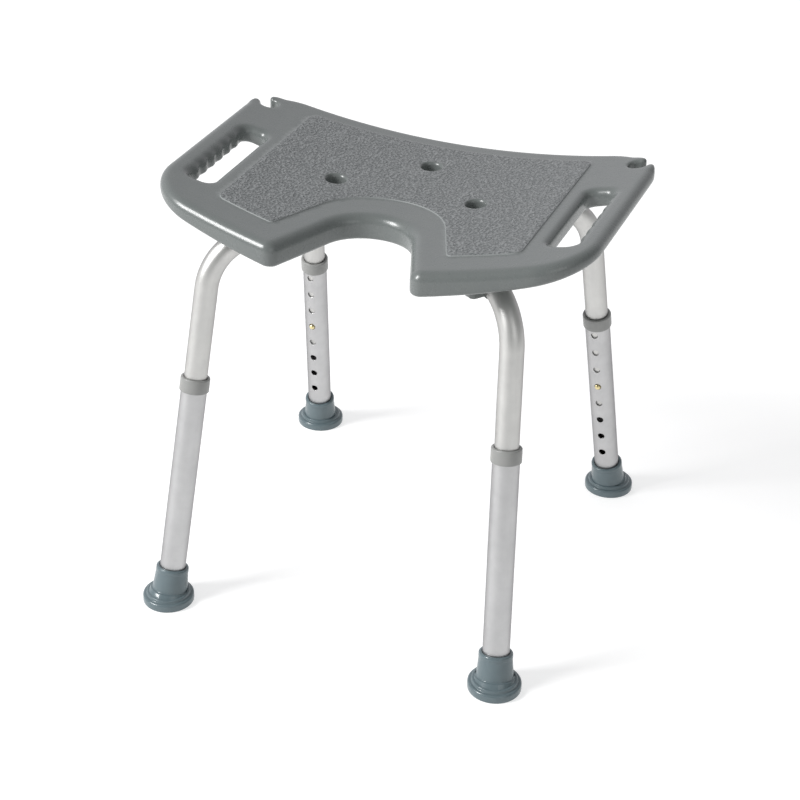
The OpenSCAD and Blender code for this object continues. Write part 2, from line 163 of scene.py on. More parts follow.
def softened(node, width, material, body):
    """A copy of a CAD node with its triangles merged into clean faces and its edges rounded."""
    bm = bmesh.new()
    bm.from_mesh(frame["nodes"][node].data)
    bmesh.ops.remove_doubles(bm, verts=bm.verts, dist=WELD)
    bmesh.ops.dissolve_limit(bm, angle_limit=math.radians(0.6), verts=bm.verts, edges=bm.edges)
    crisp = [e for e in bm.edges if e.is_manifold and e.calc_face_angle(0) > math.radians(CRISP)]
    bmesh.ops.bevel(bm, geom=crisp, offset=width, segments=3, profile=0.5, affect="EDGES",
                    clamp_overlap=True)
    for face in bm.faces:
        face.smooth = True
        face.material_index = 0
    return finished(node + "_visual", bm, [material], body, [node], CRISP)


def moved(verts, matrix):
    return [matrix @ Vector(v) for v in verts]


def joined(rings):
    """Faces between each ring of vertices and the next. A ring on an axis is one vertex, repeated."""
    faces = []
    for low, high in zip(rings, rings[1:]):
        n = len(low)
        for i in range(n):
            j = (i + 1) % n
            face = list(dict.fromkeys([low[i], low[j], high[j], high[i]]))
            if len(face) > 2:
                faces.append(face)
    return faces


def fillet(corners, i):
    """Rounds corner i of a path of (x, y, radius) corners. Returns the rounding's centre, the
    way from there to its start, and the angle that it turns through."""
    before, corner, after = (Vector(corners[k % len(corners)][:2]) for k in (i - 1, i, i + 1))
    radius = corners[i][2]
    u, v = (before - corner).normalized(), (after - corner).normalized()
    half = u.angle(v) / 2
    centre = corner + (u + v).normalized() * radius / math.sin(half)
    start = corner + u * radius / math.tan(half) - centre
    end = corner + v * radius / math.tan(half) - centre
    return centre, start, math.atan2(start.x * end.y - start.y * end.x, start.dot(end))


def rounded_profile(corners, steps=6):
    """A profile in (radius, height) through corners given as (r, z, rounding)."""
    points = []
    for i, (x, y, radius) in enumerate(corners):
        if radius == 0 or i in (0, len(corners) - 1):
            points.append((x, y))
            continue
        centre, start, turn = fillet(corners, i)
        for k in range(steps + 1):
            s, c = math.sin(turn * k / steps), math.cos(turn * k / steps)
            points.append((centre.x + start.x * c - start.y * s, centre.y + start.x * s + start.y * c))
    return points


def lathe(profile, sides=SIDES):
    """Turns a (radius, height) profile about Z. Points on the axis become one vertex."""
    verts, rings = [], []
    for r, z in profile:
        if r < WELD:
            rings.append([len(verts)] * sides)
            verts.append((0, 0, z))
        else:
            rings.append(list(range(len(verts), len(verts) + sides)))
            for i in range(sides):
                a = 2 * math.pi * i / sides
                verts.append((r * math.cos(a), r * math.sin(a), z))
    return verts, joined(rings)


# ------------------------------------------------------------------ outlines

def corner_arcs(corners):
    """For each (x, y, radius) corner, its fillet as (centre, radius, start angle, end angle)."""
    arcs = []
    for i, (x, y, radius) in enumerate(corners):
        centre, start, turn = fillet(corners, i)
        first = math.atan2(start.y, start.x)
        arcs.append((centre, radius, first, first + turn))
    return arcs


def direction(angle):
    return Vector((math.cos(angle), math.sin(angle)))


# The most that an outline's arc turns from one point to the next
ARC_STEP = math.radians(9)


def sample_arcs(arcs, step):
    """Points [x, y, nx, ny] round a closed path of arcs joined by straight lines, about a step
    apart. The material is on the path's left, and the normal points to its right."""
    rows = []
    for i, (centre, radius, a0, a1) in enumerate(arcs):
        turn = a1 - a0
        sign = 1 if turn > 0 else -1
        count = max(3, math.ceil(abs(turn) * radius / step), math.ceil(abs(turn) / ARC_STEP))
        for k in range(count + 1):
            n = direction(a0 + turn * k / count)
            rows.append((*(centre + n * radius), *(n * sign)))
        next_centre, next_radius, next_a0, _ = arcs[(i + 1) % len(arcs)]
        end = Vector(rows[-1][:2])
        line = next_centre + next_radius * direction(next_a0) - end
        if line.length < WELD:
            rows.pop()
            continue
        normal = Vector((line.y, -line.x)).normalized()
        count = max(1, round(line.length / step))
        for k in range(1, count):
            rows.append((*(end + line * k / count), *normal))
    return np.array(rows)


def circle_loop(x, y, r):
    """A round opening as [x, y, nx, ny] rows, with the material outside it."""
    count = 48
    a = -np.arange(count) * 2 * math.pi / count
    return np.column_stack([x + r * np.cos(a), y + r * np.sin(a), -np.cos(a), -np.sin(a)])


def inside(points, loop):
    """Even-odd test of many points against one closed loop."""
    x, y = points[:, 0][:, None], points[:, 1][:, None]
    ax, ay = loop[:, 0][None], loop[:, 1][None]
    bx, by = np.roll(loop[:, 0], -1)[None], np.roll(loop[:, 1], -1)[None]
    crosses = (ay > y) != (by > y)
    with np.errstate(divide="ignore", invalid="ignore"):
        at = ax + (y - ay) * (bx - ax) / (by - ay)
    return (crosses & (x < at)).sum(axis=1) % 2 == 1


# Straight edges are bowed this much while they are filled, so that no three of their points make
# a flat triangle, and the triangulation works best near unit scale
BOW = 0.5
FILL_SCALE = 10
FILL_WELD = 1e-7
ROW_GAP = 0.866


def region_grid(loops, rings, spacing, keep_away):
    """Points in staggered rows inside loops[0] and outside the other loops, clear of all rings."""
    low, high = loops[0][:, :2].min(axis=0), loops[0][:, :2].max(axis=0)
    grid = []
    for row, y in enumerate(np.arange(low[1], high[1], spacing * ROW_GAP)):
        for x in np.arange(low[0] + spacing * 0.5 * (row % 2), high[0], spacing):
            grid.append((x, y))
    grid = np.array(grid)
    keep = inside(grid, loops[0])
    for hole in loops[1:]:
        keep &= ~inside(grid, hole)
    grid = grid[keep]
    near = np.array([np.min(np.sum((rings - g) ** 2, axis=1)) for g in grid])
    return grid[near > keep_away**2]


def fill_region(loops, extra_loops, spacing, keep_away):
    """Triangles that fill the space inside loops[0] and outside the other loops. extra_loops are
    lines that the triangles follow. Returns the added grid points and faces, which index the
    points of all loops in order, then the grid."""
    rings = list(loops) + list(extra_loops)
    ring_points = np.vstack([r[:, :2] for r in rings])
    grid = region_grid(loops, ring_points, spacing, keep_away)
    points = np.vstack([ring_points, grid])
    edges, base = [], 0
    for ring in rings:
        n = len(ring)
        edges += [(base + i, base + (i + 1) % n) for i in range(n)]
        base += n
    bowed = points * (1 - BOW * np.sum(points**2, axis=1))[:, None]
    filled = delaunay_2d_cdt([Vector(p) for p in bowed * FILL_SCALE], edges, [], 0, FILL_WELD)
    triangles, sources = filled[2], filled[3]
    faces = np.array([[sources[i][0] for i in f] for f in triangles])
    a, b, c = (bowed[faces[:, k]] for k in range(3))
    centre = (a + b + c) / 3
    start = len(loops[0])
    keep = inside(centre, bowed[:start])
    for hole in loops[1:]:
        keep &= ~inside(centre, bowed[start:start + len(hole)])
        start += len(hole)
    area = (b[:, 0] - a[:, 0]) * (c[:, 1] - a[:, 1]) - (b[:, 1] - a[:, 1]) * (c[:, 0] - a[:, 0])
    faces[area < 0] = faces[area < 0][:, ::-1]
    return grid, faces[keep]


# ------------------------------------------------------------------ materials

def new_material(name):
    material = bpy.data.materials.new(name)
    material.use_nodes = True
    tree = material.node_tree
    return material, tree.nodes, tree.links, tree.nodes["Principled BSDF"]


def noise(nodes, links, coords, scale, detail=4):
    node = nodes.new("ShaderNodeTexNoise")
    node.inputs["Scale"].default_value = scale
    node.inputs["Detail"].default_value = detail
    node.inputs["Roughness"].default_value = 0.55
    links.new(coords, node.inputs["Vector"])
    return node.outputs["Fac"]


def remap(nodes, links, value, low, high):
    node = nodes.new("ShaderNodeMapRange")
    node.inputs["To Min"].default_value = low
    node.inputs["To Max"].default_value = high
    links.new(value, node.inputs["Value"])
    return node.outputs["Result"]


def ramp(nodes, links, value, stops):
    node = nodes.new("ShaderNodeValToRGB")
    for element, (position, colour) in zip(node.color_ramp.elements, stops):
        element.position = position
        element.color = (*colour, 1)
    links.new(value, node.inputs["Fac"])
    return node.outputs["Color"]


def bump(nodes, links, height, distance, normal=None):
    node = nodes.new("ShaderNodeBump")
    node.inputs["Distance"].default_value = distance
    links.new(height, node.inputs["Height"])
    if normal:
        links.new(normal, node.inputs["Normal"])
    return node.outputs["Normal"]


def object_coords(nodes):
    return nodes.new("ShaderNodeTexCoord").outputs["Object"]


# Noise scales are waves to the metre. This one is the finest grain of a moulded surface
FINE = 2600


def moulded_plastic(name, dark, light, roughness, grain):
    """Satin moulded plastic: faint mottling, a fine spark-eroded grain and uneven gloss."""
    material, nodes, links, shader = new_material(name)
    coords = object_coords(nodes)
    links.new(ramp(nodes, links, noise(nodes, links, coords, 60), [(0.3, dark), (0.7, light)]),
              shader.inputs["Base Color"])
    links.new(remap(nodes, links, noise(nodes, links, coords, 90), roughness - 0.03, roughness + 0.04),
              shader.inputs["Roughness"])
    links.new(bump(nodes, links, noise(nodes, links, coords, FINE, 2), grain), shader.inputs["Normal"])
    return material


def grained_plastic(name, dark, light, roughness):
    """The seat's plastic with a worm-like non-slip grain moulded into it."""
    material, nodes, links, shader = new_material(name)
    coords = object_coords(nodes)
    worms = nodes.new("ShaderNodeTexNoise")
    worms.inputs["Scale"].default_value = 370
    worms.inputs["Detail"].default_value = 0
    worms.inputs["Distortion"].default_value = 0.4
    links.new(coords, worms.inputs["Vector"])
    grain = worms.outputs["Fac"]
    links.new(ramp(nodes, links, grain, [(0.42, dark), (0.60, light)]), shader.inputs["Base Color"])
    links.new(remap(nodes, links, noise(nodes, links, coords, 220), roughness - 0.05, roughness + 0.07),
              shader.inputs["Roughness"])
    raised = bump(nodes, links, grain, 1.8 * MM)
    links.new(bump(nodes, links, noise(nodes, links, coords, FINE, 2), 0.008 * MM, raised),
              shader.inputs["Normal"])
    return material


def anodised_aluminium(name, dark, light):
    """Satin anodised tube: very fine draw lines, soft clouding and a matt sheen."""
    material, nodes, links, shader = new_material(name)
    place = nodes.new("ShaderNodeAttribute")
    place.attribute_name = "flow"
    drawn = nodes.new("ShaderNodeMapping")
    drawn.inputs["Scale"].default_value = (1, 1, 0.02)
    links.new(place.outputs["Vector"], drawn.inputs["Vector"])
    lines = noise(nodes, links, drawn.outputs["Vector"], 1500, 3)
    cloud = noise(nodes, links, place.outputs["Vector"], 45)
    shader.inputs["Metallic"].default_value = 1.0
    shader.inputs["Specular Tint"].default_value = (0.35, 0.35, 0.36, 1)
    links.new(ramp(nodes, links, cloud, [(0.3, dark), (0.7, light)]), shader.inputs["Base Color"])
    links.new(remap(nodes, links, lines, 0.36, 0.50), shader.inputs["Roughness"])
    links.new(bump(nodes, links, lines, 0.01 * MM), shader.inputs["Normal"])
    return material


def bare_metal(name, colour, roughness):
    """Plated steel or brass with small stains and fine tumbling marks."""
    material, nodes, links, shader = new_material(name)
    coords = object_coords(nodes)
    dull = tuple(c * 0.8 for c in colour)
    shader.inputs["Metallic"].default_value = 1.0
    links.new(ramp(nodes, links, noise(nodes, links, coords, 300), [(0.35, dull), (0.65, colour)]),
              shader.inputs["Base Color"])
    links.new(remap(nodes, links, noise(nodes, links, coords, 900), roughness - 0.08, roughness + 0.12),
              shader.inputs["Roughness"])
    links.new(bump(nodes, links, noise(nodes, links, coords, 2500, 2), 0.01 * MM), shader.inputs["Normal"])
    return material


SEAT_GREY = moulded_plastic("seat_plastic", (0.124, 0.136, 0.134), (0.132, 0.143, 0.140), 0.27, 0.005 * MM)
SEAT_PAD = grained_plastic("seat_pad_plastic", (0.106, 0.115, 0.116), (0.180, 0.190, 0.191), 0.34)
# The pad's sloping edge is a lighter grey than the seat. This is a painted highlight along the edge
PAD_EDGE_PAINTED_HIGHLIGHT = moulded_plastic("pad_edge_painted_highlight", (0.200, 0.212, 0.212), (0.212, 0.224, 0.224), 0.6,
                                0.005 * MM)
COLLAR_GREY = moulded_plastic("collar_plastic", (0.24, 0.242, 0.235), (0.26, 0.262, 0.255), 0.38, 0.01 * MM)
FOOT_GREY = moulded_plastic("foot_rubber", (0.100, 0.135, 0.149), (0.115, 0.151, 0.165), 0.24, 0.01 * MM)
FRAME_ALUMINIUM = anodised_aluminium("frame_aluminium", (0.55, 0.547, 0.535), (0.61, 0.606, 0.59))
LEG_ALUMINIUM = anodised_aluminium("leg_aluminium", (0.49, 0.489, 0.492), (0.55, 0.548, 0.55))
STEEL = bare_metal("zinc_steel", (0.62, 0.63, 0.65), 0.32)
BRASS = bare_metal("brass", (0.84, 0.72, 0.40), 0.22)


# ------------------------------------------------------------------ seat

def top_z(x):
    return TOP_LOW + TOP_R - np.sqrt(TOP_R**2 - x**2)


def under_z(x):
    return UNDER_LOW + UNDER_R - np.sqrt(UNDER_R**2 - x**2)


# The hose notch: a circle near each rear corner, and the rounded lips of its mouth
NOTCH = Vector((219.5 * MM, 125.5 * MM))
NOTCH_R = 10 * MM
NOTCH_LIP = 5 * MM
# Corners of the outline as (x, y, rounding): the cut-out's mouth and its inner end
MOUTH = (76 * MM, -179 * MM, 13 * MM)
CUT_BACK = (34 * MM, -64.5 * MM, 48 * MM)
REAR_CORNER_R = 60 * MM
FRONT_CORNER_R = 72 * MM
FRONT_SLOPE = math.radians(14)
FRONT_CORNER_Y = MOUTH[1] + (HALF_W - MOUTH[0]) * math.tan(FRONT_SLOPE)

# Spacing of the outline's points, and of the triangles inside it
STEP = 4 * MM
FILL_STEP, FILL_GAP = 5 * MM, 2.2 * MM


def notched_corner(arc, side):
    """A rear corner with the hose notch cut through it: five arcs in place of one."""
    centre, radius, a0, a1 = arc
    notch = Vector((side * NOTCH.x, NOTCH.y))
    out = notch - centre
    mouth = math.atan2(out.y, out.x)
    # Each lip touches the corner's arc from inside and the notch's circle from outside
    reach = NOTCH_R + NOTCH_LIP
    far_side = (radius - NOTCH_LIP) ** 2 - out.length_squared - reach**2
    spread = math.acos(far_side / (2 * out.length * reach))
    lips = [notch + reach * direction(mouth + turn) for turn in (-spread, spread)]
    at = [math.atan2(*(lip - centre).yx) for lip in lips]
    return [
        (centre, radius, a0, at[0]),
        (lips[0], NOTCH_LIP, at[0], mouth - spread + math.pi),
        (notch, NOTCH_R, mouth - spread, mouth + spread - 2 * math.pi),
        (lips[1], NOTCH_LIP, mouth + spread - math.pi, at[1]),
        (centre, radius, at[1], a1),
    ]


def seat_loop():
    corners = [
        (HALF_W, SEAT_BACK, REAR_CORNER_R), (-HALF_W, SEAT_BACK, REAR_CORNER_R),
        (-HALF_W, FRONT_CORNER_Y, FRONT_CORNER_R), (-MOUTH[0], MOUTH[1], MOUTH[2]),
        (-CUT_BACK[0], CUT_BACK[1], CUT_BACK[2]), CUT_BACK, MOUTH,
        (HALF_W, FRONT_CORNER_Y, FRONT_CORNER_R),
    ]
    arcs = corner_arcs(corners)
    return sample_arcs(notched_corner(arcs[0], 1) + notched_corner(arcs[1], -1) + arcs[2:], STEP)


# The handle opening, and the finger grips in its outer wall
SLOT = Vector((201.5 * MM, -18 * MM))
SLOT_W, SLOT_L, SLOT_CORNER = 29 * MM, 142 * MM, 10 * MM
GRIPS, GRIP_PITCH, GRIP_DEPTH = 6, 19 * MM, 1.6 * MM

DRAINS = ((80.5 * MM, 0), (-80.5 * MM, 0), (0, 79 * MM))
DRAIN_R = 10.5 * MM


def slot_loop(side):
    """A handle opening, and how far the finger grips stand out at each point of it."""
    half_w, half_l = SLOT_W / 2, SLOT_L / 2
    arcs = corner_arcs([(half_w, half_l, SLOT_CORNER), (half_w, -half_l, SLOT_CORNER),
                        (-half_w, -half_l, SLOT_CORNER), (-half_w, half_l, SLOT_CORNER)])
    rows = sample_arcs(arcs, STEP / 2)
    reach = GRIPS * GRIP_PITCH / 2
    on_wall = (rows[:, 0] > half_w - WELD) & (np.abs(rows[:, 1]) < reach)
    grips = GRIP_DEPTH / 2 * (1 - np.cos(2 * math.pi * (rows[:, 1] + reach) / GRIP_PITCH)) * on_wall
    rows[:, :2] += SLOT
    if side < 0:
        rows = rows[::-1] * np.array([-1, 1, -1, 1])
        grips = grips[::-1]
    return rows, grips


# The raised, grained pad: its height, the width of its sloping edge, and its corners
PAD_RAISE = 1.1 * MM
PAD_EDGE = 1.0 * MM
PAD = [
    (168 * MM, 133 * MM, 12 * MM), (-168 * MM, 133 * MM, 12 * MM), (-168 * MM, -113 * MM, 12 * MM),
    (-96 * MM, -131 * MM, 6 * MM), (-51.7 * MM, -19 * MM, 74 * MM),
    (51.7 * MM, -19 * MM, 74 * MM), (96 * MM, -131 * MM, 6 * MM), (168 * MM, -113 * MM, 12 * MM),
]

# Roundings of the seat's (top, lower) edges. Those of the rim are crisper beside a hose notch,
# and full again at NOTCH_FAR from the notch's middle
RIM_EDGES = (11.2 * MM, 5.5 * MM)
NOTCH_EDGES = (4.4 * MM, 3 * MM)
NOTCH_NEAR, NOTCH_FAR = 19 * MM, 30 * MM
SLOT_EDGES = (9 * MM, 5 * MM)
DRAIN_EDGES = (3 * MM, 2 * MM)
RIM_STEPS = 8

# Faces of the seat are plain plastic, the pad's grain or the pad's edge. The edge is coloured lighter than the
# seat as a painted highlight
PLAIN, GRAIN, EDGE = 0, 1, 2


def smooth(t):
    t = np.clip(t, 0, 1)
    return t * t * (3 - 2 * t)


def seat_rims():
    """Each outline of the seat, with the rounding of its top and lower edges, and its grips."""
    outer = seat_loop()
    gaps = [np.hypot(outer[:, 0] - side * NOTCH.x, outer[:, 1] - NOTCH.y) for side in (-1, 1)]
    far = smooth((np.min(gaps, axis=0) - NOTCH_NEAR) / (NOTCH_FAR - NOTCH_NEAR))
    top_r, under_r = (crisp + (full - crisp) * far for crisp, full in zip(NOTCH_EDGES, RIM_EDGES))
    rims = [(outer, top_r, under_r, 0)]
    for side in (1, -1):
        loop, grips = slot_loop(side)
        rims.append((loop, *SLOT_EDGES, grips))
    for x, y in DRAINS:
        rims.append((circle_loop(x, y, DRAIN_R), *DRAIN_EDGES, 0))
    return rims


def rim_rings(loop, top_r, under_r, grips):
    """Rings of points down one wall of the seat, from its top face over both roundings."""
    top_r, under_r, grips = (np.broadcast_to(v, len(loop)) for v in (top_r, under_r, grips))
    rings = []
    for k in range(RIM_STEPS + 1):
        phi = math.pi / 2 * k / RIM_STEPS
        inset = top_r * (1 - math.sin(phi)) - grips * math.sin(phi)
        xy = loop[:, :2] - loop[:, 2:] * inset[:, None]
        rings.append(np.column_stack([xy, top_z(xy[:, 0]) - top_r * (1 - math.cos(phi))]))
    for k in range(RIM_STEPS + 1):
        phi = math.pi / 2 * k / RIM_STEPS
        inset = under_r * (1 - math.cos(phi)) - grips * math.cos(phi)
        xy = loop[:, :2] - loop[:, 2:] * inset[:, None]
        rings.append(np.column_stack([xy, under_z(xy[:, 0]) + under_r * (1 - math.sin(phi))]))
    return rings


def pad_slope():
    """Rings of points up the pad's edge, each with its height above the seat."""
    loop = sample_arcs(corner_arcs(PAD), STEP)
    rings = []
    for t in np.linspace(0, 1, 5):
        ring = loop.copy()
        ring[:, :2] -= loop[:, 2:] * PAD_EDGE * t
        rings.append((ring, PAD_RAISE * smooth(t)))
    return rings


def seat_mesh():
    verts, faces, kinds = [], [], []
    top_rings, under_rings = [], []
    for rim in seat_rims():
        rings = rim_rings(*rim)
        n = len(rings[0])
        base = len(verts)
        for ring in rings:
            verts.extend(ring)
        for upper in range(base, base + (len(rings) - 1) * n, n):
            lower = upper + n
            for i in range(n):
                j = (i + 1) % n
                faces.append((upper + i, lower + i, lower + j, upper + j))
                kinds.append(PLAIN)
        top_rings.append((rings[0], base))
        under_rings.append((rings[-1], base + (len(rings) - 1) * n))

    slope = pad_slope()
    pad_outer, pad_inner = slope[0][0], slope[-1][0]

    def skin(rings, extras, height, raised, flip):
        """Fills a whole face of the seat between its rings. extras are rings with a lift."""
        grid, tris = fill_region([r for r, _ in rings], [r for r, _ in extras], FILL_STEP, FILL_GAP)
        index = []
        for ring, base in rings:
            index += list(range(base, base + len(ring)))
        for ring, lift in extras:
            index += list(range(len(verts), len(verts) + len(ring)))
            verts.extend(np.column_stack([ring[:, :2], height(ring[:, 0]) + lift]))
        index += list(range(len(verts), len(verts) + len(grid)))
        lift = PAD_RAISE * inside(grid, pad_outer) if raised else 0
        verts.extend(np.column_stack([grid, height(grid[:, 0]) + lift]))
        centres = np.array([np.mean([verts[index[i]][:2] for i in f], axis=0) for f in tris])
        # Faces on the pad's sloping edge take its lighter grey, a painted highlight
        kind = np.where(inside(centres, pad_inner), GRAIN, EDGE)
        kind = np.where(inside(centres, pad_outer) & raised, kind, PLAIN)
        kinds.extend(kind)
        faces.extend([index[i] for i in (f[::-1] if flip else f)] for f in tris)

    # The drain openings pass through the raised pad, so their upper rings are lifted with it
    for ring, base in top_rings[-len(DRAINS):]:
        for k in range(RIM_STEPS):
            start = base + k * len(ring)
            for point in verts[start:start + len(ring)]:
                point[2] += PAD_RAISE * (1 - smooth(k / RIM_STEPS))
    skin(top_rings, slope, top_z, True, False)
    skin(under_rings, [], under_z, False, True)
    return verts, faces, kinds


def carved(piece, cutters):
    """Cuts solids out of a piece and applies the result."""
    for cutter in cutters:
        cut = piece.modifiers.new("cut", "BOOLEAN")
        cut.operation = "DIFFERENCE"
        cut.solver = "EXACT"
        cut.object = cutter
    with bpy.context.temp_override(object=piece, active_object=piece):
        for cut in list(piece.modifiers):
            bpy.ops.object.modifier_apply(modifier=cut.name)
    for cutter in cutters:
        bpy.data.objects.remove(cutter)


# Room round a tube in its groove, and beside its flattened middle in the pocket
CHANNEL_GAP = 0.2 * MM
POCKET_GAP = 0.5 * MM
POCKET_SHOULDER = 4 * MM
# How far below the tube's axis the cutting solids reach, which is clear of the seat
CUT_DEPTH = 40 * MM


def run_cutter(corner, arch, half_length):
    """A solid with the arch's (across, up) outline, laid along the level run to a corner."""
    elbow = elbow_of(corner)
    along = Vector((elbow.x, elbow.y, 0)).normalized()
    across = Vector((0, 0, 1)).cross(along)
    n = len(arch)
    verts = [along * (end * half_length) + across * u + Vector((0, 0, RUN_Z + v))
             for end in (-1, 1) for u, v in arch]
    near, far = list(range(n)), list(range(n, 2 * n))
    mesh = bpy.data.meshes.new("cutter")
    mesh.from_pydata(verts, [], [near, far] + joined([near, far]))
    bm = bmesh.new()
    bm.from_mesh(mesh)
    bmesh.ops.recalc_face_normals(bm, faces=bm.faces)
    bm.to_mesh(mesh)
    bm.free()
    mesh.shade_smooth()
    mesh.materials.append(SEAT_GREY)
    solid = bpy.data.objects.new("cutter", mesh)
    bpy.context.scene.collection.objects.link(solid)
    return solid


def tube_channel(corner):
    """The groove that a tube lies in: an arch over its run, open below."""
    r = TUBE_R + CHANNEL_GAP
    arch = [(r * math.cos(math.pi * k / 32), r * math.sin(math.pi * k / 32)) for k in range(33)]
    arch += [(-r, -CUT_DEPTH), (r, -CUT_DEPTH)]
    return run_cutter(corner, arch, elbow_of(corner).xy.length)


def crossing_pocket(corner):
    """The wider pocket over a tube's flattened middle, with rounded shoulders."""
    half, top = FLAT_W / 2 + POCKET_GAP, TUBE_R + 2 * CHANNEL_GAP
    r = POCKET_SHOULDER
    arch = [(half, -CUT_DEPTH)]
    for start, x in ((0, half - r), (90, -half + r)):
        for k in range(9):
            a = math.radians(start + 90 * k / 8)
            arch.append((x + r * math.cos(a), top - r + r * math.sin(a)))
    arch.append((-half, -CUT_DEPTH))
    return run_cutter(corner, arch, FLAT_HALF + TAPER)


verts, faces, kinds = seat_mesh()
seat = add_piece("seat", verts, faces, [SEAT_GREY, SEAT_PAD, PAD_EDGE_PAINTED_HIGHLIGHT], "seat_frame",
                 ["seat_panel"], kinds=kinds)
carved(seat, [tube_channel("front_left"), tube_channel("front_right"),
              crossing_pocket("front_left"), crossing_pocket("front_right")])
seat.data.set_sharp_from_angle(angle=math.radians(38))


# ------------------------------------------------------------------ frame tubes

def tube_path(corner):
    """Centre line of one bent end, from its open end to the start of the level run, with its
    directions, the run's direction and its length to the middle of the stool."""
    up, foot, elbow = leg_up(corner), MOUNTS["floor_" + corner], elbow_of(corner)
    along = Vector((-elbow.x, -elbow.y, 0)).normalized()
    turn = up.angle(along)
    tangent = BEND_R * math.tan(turn / 2)
    start = elbow - up * tangent
    inward = (along - up * up.dot(along)).normalized()
    centre = start + inward * BEND_R
    straight = (start - foot).length - FRAME_END
    points = [foot + up * (FRAME_END + straight * k / 8) for k in range(9)]
    directions = [up] * 9
    for k in range(1, 33):
        a = turn * k / 32
        points.append(centre - inward * BEND_R * math.cos(a) + up * BEND_R * math.sin(a))
        directions.append(up * math.cos(a) + inward * math.sin(a))
    return points, directions, along, elbow.xy.length - tangent


def tube_stations(first, second):
    """(centre, direction, flatness) along a whole tube, from one corner's open end to the other's."""
    path, directions, along, run = tube_path(first)
    end_path, end_directions, back, end_run = tube_path(second)
    pressed = FLAT_HALF + TAPER
    stations = [(point, way, 0) for point, way in zip(path, directions)]
    for s in np.linspace(0, 1, 6)[1:-1]:
        stations.append((path[-1] + along * (run - pressed) * s, along, 0))
    for s in np.linspace(-1, 1, 41):
        flat = float(smooth((pressed - abs(s * pressed)) / TAPER))
        stations.append((path[-1] + along * run + along * (s * pressed), along, flat))
    for s in np.linspace(1, 0, 6)[1:-1]:
        stations.append((end_path[-1] + back * (end_run - pressed) * s, along, 0))
    stations += [(point, -way, 0) for point, way in zip(end_path[::-1], end_directions[::-1])]
    return stations


def tube_section(flat, r, thinner, side):
    """A tube's cross-section as (across, up): round at flat 0, and at flat 1 a flattened bar on
    one side of the tube's axis, thinner by that much all round."""
    section = []
    count = 64
    edge = FLAT_H / 2 - thinner
    wide = (FLAT_W - FLAT_H) / 2
    for i in range(count):
        a = 2 * math.pi * i / count
        c, s = math.cos(a), math.sin(a)
        across = (1 - flat) * r * c + flat * (wide * max(-1, min(1, 2.5 * c)) + edge * c)
        up = (1 - flat) * r * s + flat * (edge * s + side * TUBE_R / 2)
        section.append((across, up))
    return section


END_ROUND = 0.35 * MM


def frame_tube(name, first, second, side):
    """One bent tube from the first corner's leg to the second's, flattened in the middle."""
    centres, directions, flats = zip(*tube_stations(first, second))
    across_run = Vector((0, 0, 1)).cross(directions[len(directions) // 2])
    lengths = [0]
    for a, b in zip(centres, centres[1:]):
        lengths.append(lengths[-1] + (b - a).length)
    verts, rings, flow = [], [], []

    def add_ring(k, r, thinner, shift=0):
        way = directions[k].normalized()
        across = (across_run - way * across_run.dot(way)).normalized()
        up = way.cross(across)
        ring = []
        for u, v in tube_section(flats[k], r, thinner, side):
            ring.append(len(verts))
            verts.append(centres[k] + way * shift + across * u + up * v)
            flow.append((u, v, lengths[k]))
        rings.append(ring)

    last = len(centres) - 1
    add_ring(0, TUBE_R - END_ROUND, END_ROUND)
    add_ring(0, TUBE_R - END_ROUND * 0.3, 0, END_ROUND * 0.3)
    add_ring(0, TUBE_R, 0, END_ROUND)
    for k in range(1, last):
        add_ring(k, TUBE_R, 0)
    add_ring(last, TUBE_R, 0, -END_ROUND)
    add_ring(last, TUBE_R - END_ROUND * 0.3, 0, -END_ROUND * 0.3)
    add_ring(last, TUBE_R - END_ROUND, END_ROUND)
    for k in range(last, -1, -1):
        add_ring(k, TUBE_R - TUBE_WALL, TUBE_WALL)
    rings.append(rings[0])
    add_piece(name + "_visual", verts, joined(rings), [FRAME_ALUMINIUM],
              "seat_frame", [name], sharp=50, flow=flow)


frame_tube("frame_tube_lower", "front_left", "rear_right", -1)
frame_tube("frame_tube_upper", "front_right", "rear_left", 1)


# ------------------------------------------------------------------ lower legs

HOLE_BEVEL = 0.3 * MM


